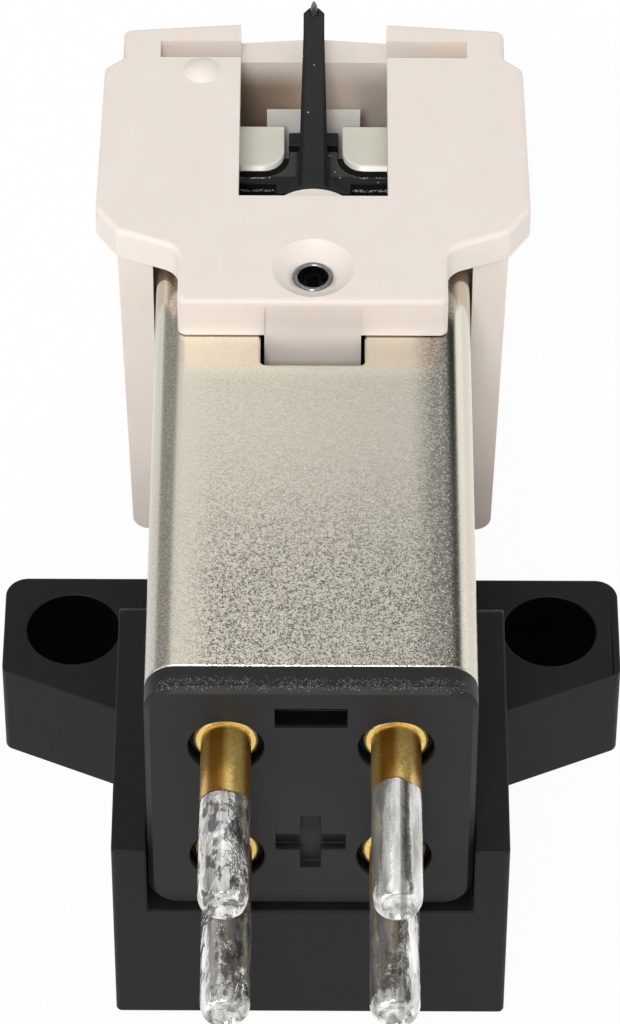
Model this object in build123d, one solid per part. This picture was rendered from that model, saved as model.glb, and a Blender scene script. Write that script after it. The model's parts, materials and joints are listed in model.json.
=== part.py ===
from build123d import *
import os
from math import atan2, cos, degrees, radians, sin, sqrt, tan

# Stereo moving-magnet cartridge for a record player, lying on its mounting face with the stylus up.
# Millimetres. The origin is midway between the two screw holes, on the mounting face.
# +Z runs from the headshell towards the record, +Y towards the stylus, and the terminal pins point to -Y.

over = 1.0               # cuts run past a face by this much

# Mounting base
hole_spacing = 12.7      # half-inch mount
hole_d = 2.45            # screw clearance hole
ear_t = 3.15             # thickness of the ears
ear_end = 1.85           # hole axis to the ear's outer end
ear_front = 1.85         # hole axis to the front edge
ear_rear = 1.45          # hole axis to the ear's outer rear corner
ear_root = 2.88          # hole axis to the ear's rear edge where it meets the block
ear_front_r = 0.6        # outer front corner of an ear, in plan
ear_rear_r = 0.25        # outer rear corner of an ear, in plan
base_rear = 10.4         # hole axis to the rear face
base_corner_r = 0.15     # rear upright corners of the block
bed_t = 4.1              # height of the bed that the can lies on
wall_t = 0.88            # side walls
wall_h = 2.35            # side walls above the bed
wall_front = 2.0         # hole axis to the front ends of the side walls
wall_end_r = 0.4         # rounded front ends of the side walls, from the side
can_gap = 0.03           # between the can and each side wall

# Shield can
can_w = 8.18
can_h = 8.24
can_r = 0.8              # outer corner radius
sheet_t = 0.35           # sheet thickness
can_rear = 9.39          # hole axis to the can's rear edge
can_front = 6.2          # hole axis to the can's front edge
notch_l = 1.08           # notch behind the key
notch_r = 0.15           # rear corners of the notch

# Terminal plate and pins
flange_t = 0.8           # part of the plate that stands behind the can
flange_edge = 0.14       # bevelled rear edge of the flange
plug_t = 1.5             # part of the plate that sits in the can
plug_gap = 0.05          # between a plug and the can's inside
pin_pitch = 4.18         # the four pins stand on a square
pin_drop = 0.09          # centre of the pin square below the can's middle
pin_d = 1.27
pin_out = 5.05           # from the plate to the free end
pin_root_d = 0.94        # in the plate, at the collar and at the solder end
pin_relief = 0.03        # full diameter starts this far behind the plate
pin_in = 0.7             # solder end in front of the plug
pin_round = 0.4          # rounded free end
pin_round_share = 0.29   # turning point of the rounded end, as a share of it
collar_d = 1.6           # collar at the bottom of the counterbore
collar_t = 0.22
counterbore_d = 1.88
counterbore_t = 0.4
slot_w = 1.78            # moulded slot above the pins
slot_h = 0.72
slot_t = 0.6
slot_rise = 1.07         # slot's middle above the upper pins
plus_w = 1.75            # plus-shaped recess between the lower pins
plus_bar = 0.6
plus_h = 2.0
plus_post = 0.5
plus_t = 0.25
plus_rise = 0.55         # recess's middle above the lower pins

# Bobbins and coils
bobbin_side_gap = 0.14   # bobbin to the can's inside
bobbin_mid_gap = 0.8     # between the two bobbins
bobbin_flange_t = 0.35
bobbin_wall = 0.3
bobbin_gap = 0.12        # bobbin ends to the strip runs
coil_inset = 0.15        # winding inside the flange's edge
coil_r = 0.5             # corners of the winding
lead_w = 0.14            # coil leads, square wire
lead_inset = 0.45        # leads leave the winding this far from its ends

# Pole pieces: bent strips of soft magnetic sheet
pole_t = 0.26
pole_w = 1.2             # width of the strip inside the can
pole_bend_r = 0.22       # bends, at the middle of the sheet
tab_l = 1.52             # tab's length along Y
tab_corner_share = 0.95  # the inner rear corner's radius takes this share of the tab's reach
leg_gap = 0.17           # between the upright legs of the upper and lower pole
lower_tab_x = 0.35       # lower tab's inner edge from the centre plane
lower_run_rise = 0.6     # lower strip's middle above the can's inside floor
run_gap = 0.5            # upper strip below the key
lap_y = -3.0             # plane where the two strips of a channel lap inside the coil
lap_end_gap = 0.4        # strip ends short of the other strip's run
slot_gap = 0.03          # strip in the carrier's slots and in the bobbin

# Core carrier
carrier_l = 3.8          # length inside the can
head_lip = 0.3           # head beside the strips
key_side_gap = 0.15      # carrier's channel round the key

# Stylus holder
slip_gap = 0.04          # tongue above the can's top
slide_gap = 0.08         # cheeks beside the can
cheek_t = 0.91
cheek_lap = 1.7          # cheeks over the can's front end
cheek_bottom = 2.27      # cheeks' lower edge above the mounting face
cheek_draft = 1.2        # degrees
cheek_corner_r = 0.45    # lower outer corners of the cheeks
tongue_inset = 0.62      # tongue's side inside the can's
tongue_t = 1.22          # tongue's thickness over the can
tongue_l = 1.96          # tongue's straight side
shoulder_rake = 0.62     # shoulder line runs back by this much at the tongue
shoulder_l = 0.87        # from the shoulder's knee to the widest rear corner
plate_t = 0.95           # plate in front of the tongue
plate_lip = 0.58         # plate beside the cheeks
plate_narrowing = 0.1    # each side, from the rear corner to the front corner
nose_step = 0.42         # from the widest front corner to the nose's root
nose_l = 1.09            # straight side of the nose
nose_rake = 0.43         # front faces run forward by this much to the middle
front_wall_t = 0.49      # front wall at its ends
plan_fillet_r = 0.6      # inside corner between tongue and shoulder
plan_knee_r = 0.35       # knees of the plate's outline
plan_corner_r = 0.22     # sharper corners of the plate's outline
plate_edge_r = 0.14      # top edges of the plate
window_w = 3.9
window_lap = 0.98        # key's front end stands this far into the window
dip_t = 0.75             # front wall lowered in front of the window
groove_lap = 0.62        # grooves on the nose start behind the front wall
groove_w = 0.65
groove_margin = 0.99     # groove's outer end inside the nose's side
groove_t = 0.72
rib_w = 2.5              # rib on the inside of the front wall
rib_l = 1.03
rib_gap = 0.4            # rib in front of the tabs
rib_drop = 1.5           # rib's top below the plate's top
rib_slope = 1.15         # rib's top falls by this much towards the wall
pip_x = -2.97            # moulded pip
pip_d = 1.0
pip_h = 0.2
pip_gap = 0.02           # pip behind the groove
dish_in = 1.23           # bowl round the lock pin, from the tongue's rear face
dish_d = 2.12
dish_t = 0.42

# Key and suspension
key_w = 2.49             # key under the tongue, half-round at its front
key_gap = 0.095          # key beside the can's notch
key_recess = 0.06        # key's rear face in front of the tongue's
key_panel_drop = 0.3     # recess runs up the tongue's rear face to this far below its top
key_proud = 0.6          # key's front end in front of the can
key_floor = 0.28         # wall under the damper's chamber
key_roof = 0.33          # wall over the damper's chamber
axis_drop = 0.49         # suspension axis below the can's top
chamber_l = 0.5          # depth of the damper's chamber
damper_d = 1.4
damper_l = 1.1
damper_gap = 0.03        # damper in its chamber and on the shank
sleeve_d = 0.7
sleeve_l = 1.8
sleeve_gap = 0.02
wire_d = 0.16
lock_pin_d = 1.04
lock_pin_hole_d = 0.79
lock_pin_proud = 0.13    # above the bottom of the dish
lock_pin_gap = 0.01

# Cantilever, magnets and stylus
shank_d = 0.66           # spigot in the damper
shank_l = 1.0
shank_bore_d = 0.3       # round the tie wire
bar_w = 4.5              # crossbar
bar_l = 0.26
bar_t = 0.5              # thickness of crossbar and stem
bar_step = 0.81          # crossbar's rear edge in front of the hub's
bar_rear_gap = 0.05      # hub in front of the damper
bar_gap = 0.28           # crossbar behind the tabs
stem_w = 1.28            # stem between the upper tabs
stem_l = 0.7             # stem beside the tabs
stem_gap = 0.14          # stem to each tab
stem_drop = 0.15         # stem's top below the suspension axis
nose_block_w = 1.32      # block round the front ends of the magnets
nose_block_l = 0.5
nose_block_in = 0.08     # block's front face behind the tabs' front edge
neck_w = 0.9             # low neck from the stem to the block
neck_drop = 0.25         # neck's top below the stem's
flare_w = 2.0            # hub at the flared root of the rod
flare_l = 1.3            # hollow flank from the hub's rear face to the rod
flare_t = 0.42
rod_root_in = 0.25       # rod's root in front of the hub's rear face
rod_root_rise = 0.12     # rod's middle line above the suspension axis at its root
rod_short = 0.22         # rod's end behind the foremost part of the nose
rod_end_rise = 0.49      # rod's middle line above the plate's top at its end
rod_root_w = 0.8
rod_root_h = 0.56
rod_end_w = 0.56
rod_end_h = 0.36
rod_bevel_share = 0.2    # bevelled corners of the rod, as a share of its height
spade_l = 0.75           # parallel end of the rod
spade_chamfer = 0.15     # end corners of the rod
magnet_w = 0.26          # thickness of a bar magnet
magnet_h = 0.52          # height of its section, leaning outwards by 45 degrees
magnet_proud = 0.12      # magnets in front of the tabs
magnet_in = 0.16         # magnets' rear ends in front of the crossbar
magnet_spread = 0.03     # lower edges of the two magnets from the centre plane
magnet_gap = 0.25        # magnets above the lower tabs
tip_d = 0.2
tip_cone_l = 0.3
tip_shank_l = 0.08       # between the rod's top face and the cone
tip_set = 0.12           # tip's axis behind the rod's end
tip_root = 0.18          # depth in the rod

# Heights that follow
bed_z = bed_t
can_top = bed_z + can_h
can_mid = bed_z + can_h / 2
in_floor = bed_z + sheet_t
plate_top = can_top + slip_gap + tongue_t
plate_under = plate_top - plate_t
axis_z = can_top - axis_drop
chamber_r = damper_d / 2 + damper_gap
key_bottom = axis_z - chamber_r - key_floor
key_top = axis_z + chamber_r + key_roof
stem_top = axis_z - stem_drop
magnet_span = (magnet_w + magnet_h) / sqrt(2)
magnet_bottom = stem_top - bar_t - magnet_span / 2
lower_tab_top = magnet_bottom - magnet_gap
upper_run = key_bottom - run_gap - pole_t / 2
lower_run = in_floor + lower_run_rise
bobbin_bottom = lower_run + pole_t / 2 + bobbin_gap
bobbin_top = upper_run - pole_t / 2 - bobbin_gap
pin_mid = can_mid - pin_drop
pin_rows = {"upper": pin_mid + pin_pitch / 2, "lower": pin_mid - pin_pitch / 2}

# Widths that follow
in_w = can_w - 2 * sheet_t
in_h = can_h - 2 * sheet_t
in_r = can_r - sheet_t
base_w = can_w + 2 * (can_gap + wall_t)
nose_w = can_w + 2 * (slide_gap + cheek_t)
plate_w = nose_w + 2 * plate_lip
tongue_w = can_w - 2 * tongue_inset
notch_w = key_w + 2 * key_gap
groove_end = nose_w / 2 - groove_margin
bobbin_w = (in_w - bobbin_mid_gap) / 2 - bobbin_side_gap
pole_x = (bobbin_mid_gap + bobbin_w) / 2
tab_inner = stem_w / 2 + stem_gap
tab_corner_r = tab_corner_share * (pole_x - pole_w / 2 - tab_inner)
head_w = 2 * pole_x + pole_w + 2 * head_lip

# Places along Y that follow, from the rear to the front
plate_face = -can_rear - flange_t
cheek_rear = can_front - cheek_lap
shoulder_root = cheek_rear - shoulder_rake
tongue_rear = shoulder_root - tongue_l
key_rear = tongue_rear + key_recess
notch_rear = key_rear - notch_l
dish_y = tongue_rear + dish_in
carrier_rear = can_front - carrier_l
plate_rear = cheek_rear + shoulder_l
key_front = can_front + key_proud
window_rear = key_front - window_lap
damper_seat = key_front - chamber_l
bar_rear = damper_seat + damper_l + bar_rear_gap
bar_front = bar_rear + bar_step + bar_l
tab_rear = bar_front + bar_gap
stem_front = tab_rear + stem_l
head_front = tab_rear + pole_t + leg_gap
pole_front = tab_rear + tab_l
rib_rear = pole_front + rib_gap
wall_inner = rib_rear + rib_l
groove_rear = wall_inner - groove_lap
pip_y = groove_rear - pip_gap - pip_d / 2
nose_corner = wall_inner + front_wall_t
nose_tip = nose_corner + nose_rake
nose_root = nose_corner - nose_l
plate_front = nose_root - nose_step
rod_root_y = bar_rear + rod_root_in
rod_end_y = nose_tip - rod_short
nose_front = pole_front - nose_block_in
nose_rear = nose_front - nose_block_l
magnet_rear = bar_front + magnet_in
magnet_front = pole_front + magnet_proud


def block(x0, x1, y0, y1, z0, z1):
    """Box between two corners."""
    return Pos((x0 + x1) / 2, (y0 + y1) / 2, (z0 + z1) / 2) * Box(x1 - x0, y1 - y0, z1 - z0)


def outline(points, radii):
    """Closed face through the points, each corner rounded by its own radius."""
    return make_face(FilletPolyline(*points, radius=radii, close=True))


def symmetric(points, radii):
    """Closed face from its right half, given from the rear to the front, and the same half mirrored."""
    left = [(-x, y) for x, y in reversed(points) if x > 0]
    left_radii = [r for (x, y), r in zip(reversed(points), reversed(radii)) if x > 0]
    return outline(points + left, radii + left_radii)


def raised(face, z0, z1):
    """Plan face carried from one height to another."""
    return extrude(Pos(0, 0, z0) * face, z1 - z0)


def along_y(face, y0, y1):
    """Face drawn in X and Z, carried from one Y to another."""
    return extrude(Plane((0, y1, 0), x_dir=(1, 0, 0), z_dir=(0, -1, 0)) * face, y1 - y0)


def along_x(face, x0, x1):
    """Face drawn in Y and Z, carried from one X to another."""
    return extrude(Plane((x0, 0, 0), x_dir=(0, 1, 0), z_dir=(1, 0, 0)) * face, x1 - x0)


def rod_y(radius, y0, y1, x=0, z=axis_z):
    """Round bar along Y."""
    return along_y(Pos(x, z) * Circle(radius), y0, y1)


def mounting_base():
    """Ears, block and bed in one moulding, with a side wall along each edge of the bed."""
    half = base_w / 2
    inner = can_w / 2 + can_gap
    wall_top = bed_z + wall_h
    side = [(-base_rear, 0), (ear_front, 0), (ear_front, ear_t)]
    side += [(-wall_front, ear_t), (-wall_front, wall_top), (-base_rear, wall_top)]
    body = along_x(outline(side, [0, 0, 0, 0, wall_end_r, 0]), -half, half)
    body = fillet(body.edges().filter_by(Axis.Z).group_by(Axis.Y)[0], base_corner_r)
    body -= block(-inner, inner, -base_rear, ear_front, bed_z, wall_top)
    body += block(-inner, inner, -wall_front, ear_front, ear_t, bed_z)
    ear_x = hole_spacing / 2 + ear_end
    ear = [(inner, -ear_root), (half, -ear_root), (ear_x, -ear_rear), (ear_x, ear_front), (inner, ear_front)]
    ear = raised(outline(ear, [0, 0, ear_rear_r, ear_front_r, 0]), 0, ear_t)
    body += ear + mirror(ear, about=Plane.YZ)
    for x in (-hole_spacing / 2, hole_spacing / 2):
        body -= Pos(x, 0, ear_t / 2) * Cylinder(hole_d / 2, 2 * ear_t)
    return body


def shield_can():
    """Rounded box section of sheet with a notch for the key, open towards the front."""
    centre = Pos(0, can_mid)
    shell = along_y(centre * RectangleRounded(can_w, can_h, can_r), -can_rear, can_front)
    shell -= along_y(centre * RectangleRounded(in_w, in_h, in_r), -can_rear, can_front)
    plan = [(notch_w / 2, notch_rear), (notch_w / 2, can_front + over)]
    return shell - raised(symmetric(plan, [notch_r, 0]), can_mid, can_top + over)


def terminal_plate():
    """Flange with the can's outline and a plug in the can, bored for four pins."""
    centre = Pos(0, can_mid)
    flange = along_y(centre * RectangleRounded(can_w, can_h, can_r), plate_face, -can_rear)
    flange = chamfer(flange.faces().sort_by(Axis.Y)[0].edges(), flange_edge)
    plug_face = RectangleRounded(in_w - 2 * plug_gap, in_h - 2 * plug_gap, in_r)
    plate = flange + along_y(centre * plug_face, -can_rear, -can_rear + plug_t)
    for x in (-pin_pitch / 2, pin_pitch / 2):
        for z in pin_rows.values():
            plate -= rod_y(pin_root_d / 2, plate_face, -can_rear + plug_t, x, z)
            plate -= rod_y(counterbore_d / 2, plate_face, plate_face + counterbore_t, x, z)
    slot = Pos(0, pin_rows["upper"] + slot_rise) * Rectangle(slot_w, slot_h)
    plate -= along_y(slot, plate_face, plate_face + slot_t)
    plus = Rectangle(plus_w, plus_bar) + Rectangle(plus_post, plus_h)
    plate -= along_y(Pos(0, pin_rows["lower"] + plus_rise) * plus, plate_face, plate_face + plus_t)
    return plate


def terminal_pin(x, z):
    """Turned pin with a rounded free end and a collar in the counterbore."""
    free_end = plate_face - pin_out
    shoulder = plate_face - pin_relief
    floor = plate_face + counterbore_t
    solder_end = -can_rear + plug_t + pin_in
    turn = pin_round_share * pin_round
    profile = [(0, solder_end), (pin_root_d / 2, solder_end), (pin_root_d / 2, floor)]
    profile += [(collar_d / 2, floor), (collar_d / 2, floor - collar_t), (pin_root_d / 2, floor - collar_t)]
    profile += [(pin_root_d / 2, shoulder), (pin_d / 2, shoulder), (pin_d / 2, free_end + pin_round)]
    profile += [(pin_d / 2 - turn, free_end + turn), (pin_d / 2 - pin_round, free_end), (0, free_end)]
    return Pos(x, 0, z) * revolve(make_face(Polyline(*profile, close=True)), Axis.Y)


def strip(points):
    """Sheet strip bent along points in Y and Z, on the right-hand channel."""
    path = FilletPolyline(*[(pole_x, y, z) for y, z in points], radius=pole_bend_r)
    section = Plane(path @ 0, x_dir=(1, 0, 0), z_dir=path % 0) * Rectangle(pole_w, pole_t)
    return sweep(section, path=path)


def tab(inner, rear, top, corner_r):
    """Flat tab over a strip's leg, reaching from the strip towards the centre plane."""
    outer = pole_x + pole_w / 2
    plan = [(inner, rear), (outer, rear), (outer, pole_front), (inner, pole_front)]
    return raised(outline(plan, [corner_r, 0, 0, 0]), top - pole_t, top)


def upper_pole():
    """Tab level with the suspension axis, a leg down, a run back and a leg down inside the coil."""
    leg = tab_rear + pole_t / 2
    lap = lap_y + pole_t / 2
    end = lower_run + pole_t / 2 + lap_end_gap
    path = [(leg, axis_z - pole_t), (leg, upper_run), (lap, upper_run), (lap, end)]
    return strip(path) + tab(tab_inner, tab_rear, axis_z, tab_corner_r)


def lower_pole():
    """Tab under the magnets, a leg down the carrier's front, a run back and a leg up inside the coil."""
    leg = head_front + pole_t / 2
    lap = lap_y - pole_t / 2
    end = upper_run - pole_t / 2 - lap_end_gap
    path = [(leg, lower_tab_top - pole_t), (leg, lower_run), (lap, lower_run), (lap, end)]
    return strip(path) + tab(lower_tab_x, head_front, lower_tab_top, 0)


def core_carrier():
    """Plug in the can's front end with a head that the pole strips lie on."""
    plug_face = RectangleRounded(in_w - 2 * plug_gap, in_h - 2 * plug_gap, in_r)
    plug = along_y(Pos(0, can_mid) * plug_face, carrier_rear, can_front)
    channel = key_w / 2 + key_side_gap
    plug -= block(-channel, channel, carrier_rear, can_front, key_bottom - key_side_gap, can_top)
    head_top = upper_run - pole_t / 2
    head_bottom = lower_run + pole_t / 2
    half = head_w / 2
    side = [(carrier_rear, head_bottom), (head_front, head_bottom)]
    side += [(head_front, head_top), (carrier_rear, head_top)]
    plug += along_x(outline(side, [0, pole_bend_r, 0, 0]), -half, half)
    for x in (-pole_x, pole_x):
        width = pole_w / 2 + slot_gap
        for z in (upper_run, lower_run):
            run = (z - pole_t / 2, z + pole_t / 2)
            plug -= block(x - width, x + width, carrier_rear, can_front, *run)
    return plug


def bobbin():
    """Square spool on the lapped strips of the right-hand channel."""
    hole_w = pole_w + 2 * slot_gap
    hole_l = 2 * (pole_t + slot_gap)
    tube = Rectangle(hole_w + 2 * bobbin_wall, hole_l + 2 * bobbin_wall)
    place = Pos(pole_x, lap_y)
    spool = raised(place * tube, bobbin_bottom, bobbin_top)
    for z in (bobbin_bottom, bobbin_top - bobbin_flange_t):
        spool += raised(place * Rectangle(bobbin_w, bobbin_w), z, z + bobbin_flange_t)
    return spool - raised(place * Rectangle(hole_w, hole_l), bobbin_bottom, bobbin_top)


def coil():
    """Winding between the flanges of the right-hand bobbin."""
    width = bobbin_w - 2 * coil_inset
    hole_w = pole_w + 2 * (slot_gap + bobbin_wall)
    hole_l = 2 * (pole_t + slot_gap + bobbin_wall)
    ring = RectangleRounded(width, width, coil_r) - Rectangle(hole_w, hole_l)
    return raised(Pos(pole_x, lap_y) * ring, bobbin_bottom + bobbin_flange_t, bobbin_top - bobbin_flange_t)


def coil_lead(x_side, row):
    """Straight square wire from the rear face of a winding to the solder end of a pin."""
    wind_rear = lap_y - bobbin_w / 2 + coil_inset
    pin_end = -can_rear + plug_t + pin_in
    low = bobbin_bottom + bobbin_flange_t + lead_inset
    high = bobbin_top - bobbin_flange_t - lead_inset
    start = Vector(x_side * pole_x, wind_rear, high if row == "upper" else low)
    end = Vector(x_side * pin_pitch / 2, pin_end, pin_rows[row])
    run = start - end
    wire = Plane((start + end) * 0.5, z_dir=run) * Box(lead_w, lead_w, run.length + over)
    half = can_w / 2
    return wire & block(-half, half, pin_end, wind_rear, bed_z, can_top)


def stylus_holder():
    """Cap over the can's front end: plate with tongue and nose, cheeks, front wall and key."""
    plan = [
        (tongue_w / 2, tongue_rear),
        (tongue_w / 2, shoulder_root),
        (nose_w / 2, cheek_rear),
        (plate_w / 2, plate_rear),
        (plate_w / 2 - plate_narrowing, plate_front),
        (nose_w / 2, nose_root),
        (nose_w / 2, nose_corner),
        (0, nose_tip),
    ]
    radii = [plan_corner_r, plan_fillet_r, plan_knee_r, plan_knee_r, plan_corner_r, 0, plan_corner_r, 0]
    plate = raised(symmetric(plan, radii), plate_under, plate_top)
    plate = fillet(plate.faces().sort_by(Axis.Z)[-1].edges(), plate_edge_r)

    cap_plan = [(nose_w / 2, cheek_rear), (nose_w / 2, nose_corner), (0, nose_tip)]
    cap = raised(symmetric(cap_plan, [0, plan_corner_r, 0]), cheek_bottom, plate_under)
    narrowing = (plate_under - cheek_bottom) * tan(radians(cheek_draft))
    across = [(nose_w / 2 - narrowing, cheek_bottom), (nose_w / 2, plate_under)]
    cap &= along_y(symmetric(across, [cheek_corner_r, 0]), cheek_rear, nose_tip)
    inner = can_w / 2 + slide_gap
    cap -= block(-inner, inner, cheek_rear - over, wall_inner, cheek_bottom - over, plate_under)
    half = window_w / 2
    pad = symmetric([(tongue_w / 2, tongue_rear), (tongue_w / 2, window_rear)], [plan_corner_r, 0])
    tongue = raised(pad, can_top + slip_gap, plate_under)
    pip_r = ((pip_d / 2) ** 2 + pip_h ** 2) / (2 * pip_h)
    pip_ball = Pos(pip_x, pip_y, plate_top + pip_h - pip_r) * Sphere(pip_r)
    pip_column = Pos(pip_x, pip_y, plate_top) * Cylinder(pip_d / 2, 2 * pip_h)
    holder = plate + cap + tongue + (pip_ball & pip_column)

    holder -= block(-half, half, window_rear, wall_inner, can_top, plate_top + over)
    holder -= block(-half, half, wall_inner, nose_tip + over, plate_top - dip_t, plate_top + over)
    for side in (-1, 1):
        ends = sorted((side * half, side * groove_end))
        holder -= block(*ends, groove_rear, groove_rear + groove_w, plate_top - groove_t, plate_top + over)
    panel = key_w / 2
    holder -= block(-panel, panel, tongue_rear - over, key_rear, can_top, plate_top - key_panel_drop)
    rib_top = plate_top - rib_drop
    rib_side = [(rib_rear, cheek_bottom), (wall_inner, cheek_bottom)]
    rib_side += [(wall_inner, rib_top - rib_slope), (rib_rear, rib_top)]
    holder += along_x(outline(rib_side, [0, 0, 0, 0]), -rib_w / 2, rib_w / 2)
    return holder + key() - suspension_bores()


def key():
    """Bar under the tongue, half-round at its front end, that runs in the can's notch."""
    round_y = key_front - key_w / 2
    plan = Pos(0, (key_rear + round_y) / 2) * Rectangle(key_w, round_y - key_rear)
    plan += Pos(0, round_y) * Circle(key_w / 2)
    return raised(plan, key_bottom, key_top)


def suspension_bores():
    """Dish, lock pin hole, sleeve bore and damper chamber in the key."""
    dish_r = ((dish_d / 2) ** 2 + dish_t ** 2) / (2 * dish_t)
    cut = Pos(0, dish_y, plate_top + dish_r - dish_t) * Sphere(dish_r)
    pin_r = lock_pin_d / 2 + lock_pin_gap
    cut += Pos(0, dish_y, (axis_z + plate_top) / 2) * Cylinder(pin_r, plate_top - axis_z)
    cut += rod_y(sleeve_d / 2 + sleeve_gap, dish_y - sleeve_l / 2, damper_seat)
    return cut + rod_y(chamber_r, damper_seat, key_front + over)


def anchor_sleeve():
    """Tube that holds the rear end of the tie wire."""
    ends = (dish_y - sleeve_l / 2, dish_y + sleeve_l / 2)
    return rod_y(sleeve_d / 2, *ends) - rod_y(wire_d / 2, *ends)


def lock_pin():
    """Hollow pin pressed through the dish onto the sleeve."""
    top = plate_top - dish_t + lock_pin_proud
    bottom = axis_z + sleeve_d / 2
    ring = Circle(lock_pin_d / 2) - Circle(lock_pin_hole_d / 2)
    return raised(Pos(0, dish_y) * ring, bottom, top)


def damper():
    """Rubber ring between the key and the crossbar."""
    ring = rod_y(damper_d / 2, damper_seat, damper_seat + damper_l)
    return ring - rod_y(shank_d / 2 + damper_gap, damper_seat, damper_seat + damper_l)


def tie_wire():
    """Straight wire from the sleeve into the cantilever's shank."""
    return rod_y(wire_d / 2, dish_y - sleeve_l / 2, damper_seat + damper_l / 2)


def magnet():
    """Right-hand bar magnet, leaning outwards by 45 degrees so that the pair stands in a V."""
    middle = magnet_spread + magnet_span / 2
    height = magnet_bottom + magnet_span / 2
    section = Pos(middle, height) * Rectangle(magnet_w, magnet_h, rotation=-45)
    return along_y(section, magnet_rear, magnet_front)


def cantilever():
    """One moulding: spigot, crossbar, stem and nose block on the magnets, flared root and tapered rod."""
    hub = flare_w / 2
    step = bar_rear + bar_step
    plan = [(hub, bar_rear), (hub, step), (bar_w / 2, step), (bar_w / 2, bar_front)]
    plan += [(stem_w / 2, bar_front), (stem_w / 2, stem_front)]
    radii = [0, 0, 0, 0, tab_corner_r + stem_gap, 0]
    body = raised(symmetric(plan, radii), stem_top - bar_t, stem_top)
    half = nose_block_w / 2
    body += block(-half, half, nose_rear, nose_front, stem_top - bar_t, stem_top)
    half = neck_w / 2
    body += block(-half, half, stem_front, nose_rear, stem_top - bar_t, stem_top - neck_drop)
    body += raised(flared_root(), stem_top, stem_top + flare_t)
    ends = (bar_rear - shank_l, bar_rear)
    body += rod_y(shank_d / 2, *ends) - rod_y(shank_bore_d / 2, *ends)
    body += rod()
    bar_magnet = magnet()
    return body - bar_magnet - mirror(bar_magnet, about=Plane.YZ)


def flared_root():
    """Plan of the hub: a hollow quarter ellipse on each side runs out into the rod."""
    hub = flare_w / 2
    narrow = rod_root_w / 2
    front = bar_rear + flare_l
    plan = Pos(0, bar_rear + flare_l / 2) * Rectangle(flare_w, flare_l)
    for x in (-hub, hub):
        plan -= Pos(x, front) * Ellipse(hub - narrow, flare_l)
    return plan


def rod_frame():
    """Plane across the rod at its root, its length and its slope in degrees."""
    rise = plate_top + rod_end_rise - axis_z - rod_root_rise
    run = rod_end_y - rod_root_y
    root = (0, rod_root_y, axis_z + rod_root_rise)
    across = Plane(root, x_dir=(1, 0, 0), z_dir=(0, run, rise))
    return across, sqrt(run ** 2 + rise ** 2), degrees(atan2(rise, run))


def bevelled(width, height):
    """Section of the rod, its four corners cut off by a share of its height."""
    section = Rectangle(width, height)
    return chamfer(section.vertices(), rod_bevel_share * height)


def rod():
    """Tapered bar rising from the root, with a parallel end whose corners are cut off."""
    across, length, slope = rod_frame()
    root = across * bevelled(rod_root_w, rod_root_h)
    waist = across.offset(length - spade_l) * bevelled(rod_end_w, rod_end_h)
    bar = loft([root, waist], ruled=True)
    half = rod_end_w / 2
    plan = [(half, 0), (half, spade_l - spade_chamfer), (half - spade_chamfer, spade_l)]
    top = Plane(across.offset(length - spade_l).origin, x_dir=(1, 0, 0), z_dir=-across.y_dir)
    spade = extrude(top.offset(-rod_end_h / 2) * symmetric(plan, [0, 0, 0]), rod_end_h)
    return bar + spade - tip_body()


def tip_body():
    """Diamond: round shank set in the rod and a cone that stands on the rod's top face."""
    across, length, slope = rod_frame()
    back = length - tip_set
    base_y = rod_root_y + back * cos(radians(slope)) - rod_end_h / 2 * sin(radians(slope))
    base_z = axis_z + rod_root_rise + back * sin(radians(slope)) + rod_end_h / 2 * cos(radians(slope))
    shank = Cylinder(tip_d / 2, tip_shank_l + tip_root)
    cone = Cone(tip_d / 2, 0, tip_cone_l)
    top = Pos(0, base_y, base_z + tip_shank_l)
    shank_down = Pos(0, 0, -(tip_shank_l + tip_root) / 2)
    cone_up = Pos(0, 0, tip_cone_l / 2)
    return top * (shank_down * shank + cone_up * cone)


def pair(make, name):
    """Right-hand piece and its mirror image, as two named nodes."""
    right = make()
    return {name + "_left": mirror(right, about=Plane.YZ), name + "_right": right}


nodes = {
    "mounting_base": mounting_base(),
    "shield_can": shield_can(),
    "terminal_plate": terminal_plate(),
    "core_carrier": core_carrier(),
    "stylus_holder": stylus_holder(),
    "lock_pin": lock_pin(),
    "anchor_sleeve": anchor_sleeve(),
    "tie_wire": tie_wire(),
    "damper": damper(),
    "cantilever": cantilever(),
    "stylus_tip": tip_body(),
}
nodes |= pair(upper_pole, "upper_pole")
nodes |= pair(lower_pole, "lower_pole")
nodes |= pair(bobbin, "bobbin")
nodes |= pair(coil, "coil")
nodes |= pair(magnet, "magnet")
sides = {"left": -1, "right": 1}
for row, z in pin_rows.items():
    for side, sign in sides.items():
        nodes[f"terminal_pin_{row}_{side}"] = terminal_pin(sign * pin_pitch / 2, z)
leads = [coil_lead(sign, row).solid() for row in pin_rows for sign in sides.values()]
nodes["coil_leads"] = Compound(leads)

os.makedirs("parts", exist_ok=True)
for name, shape in nodes.items():
    export_step(shape, f"parts/{name}.step")
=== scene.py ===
import json
import math

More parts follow.
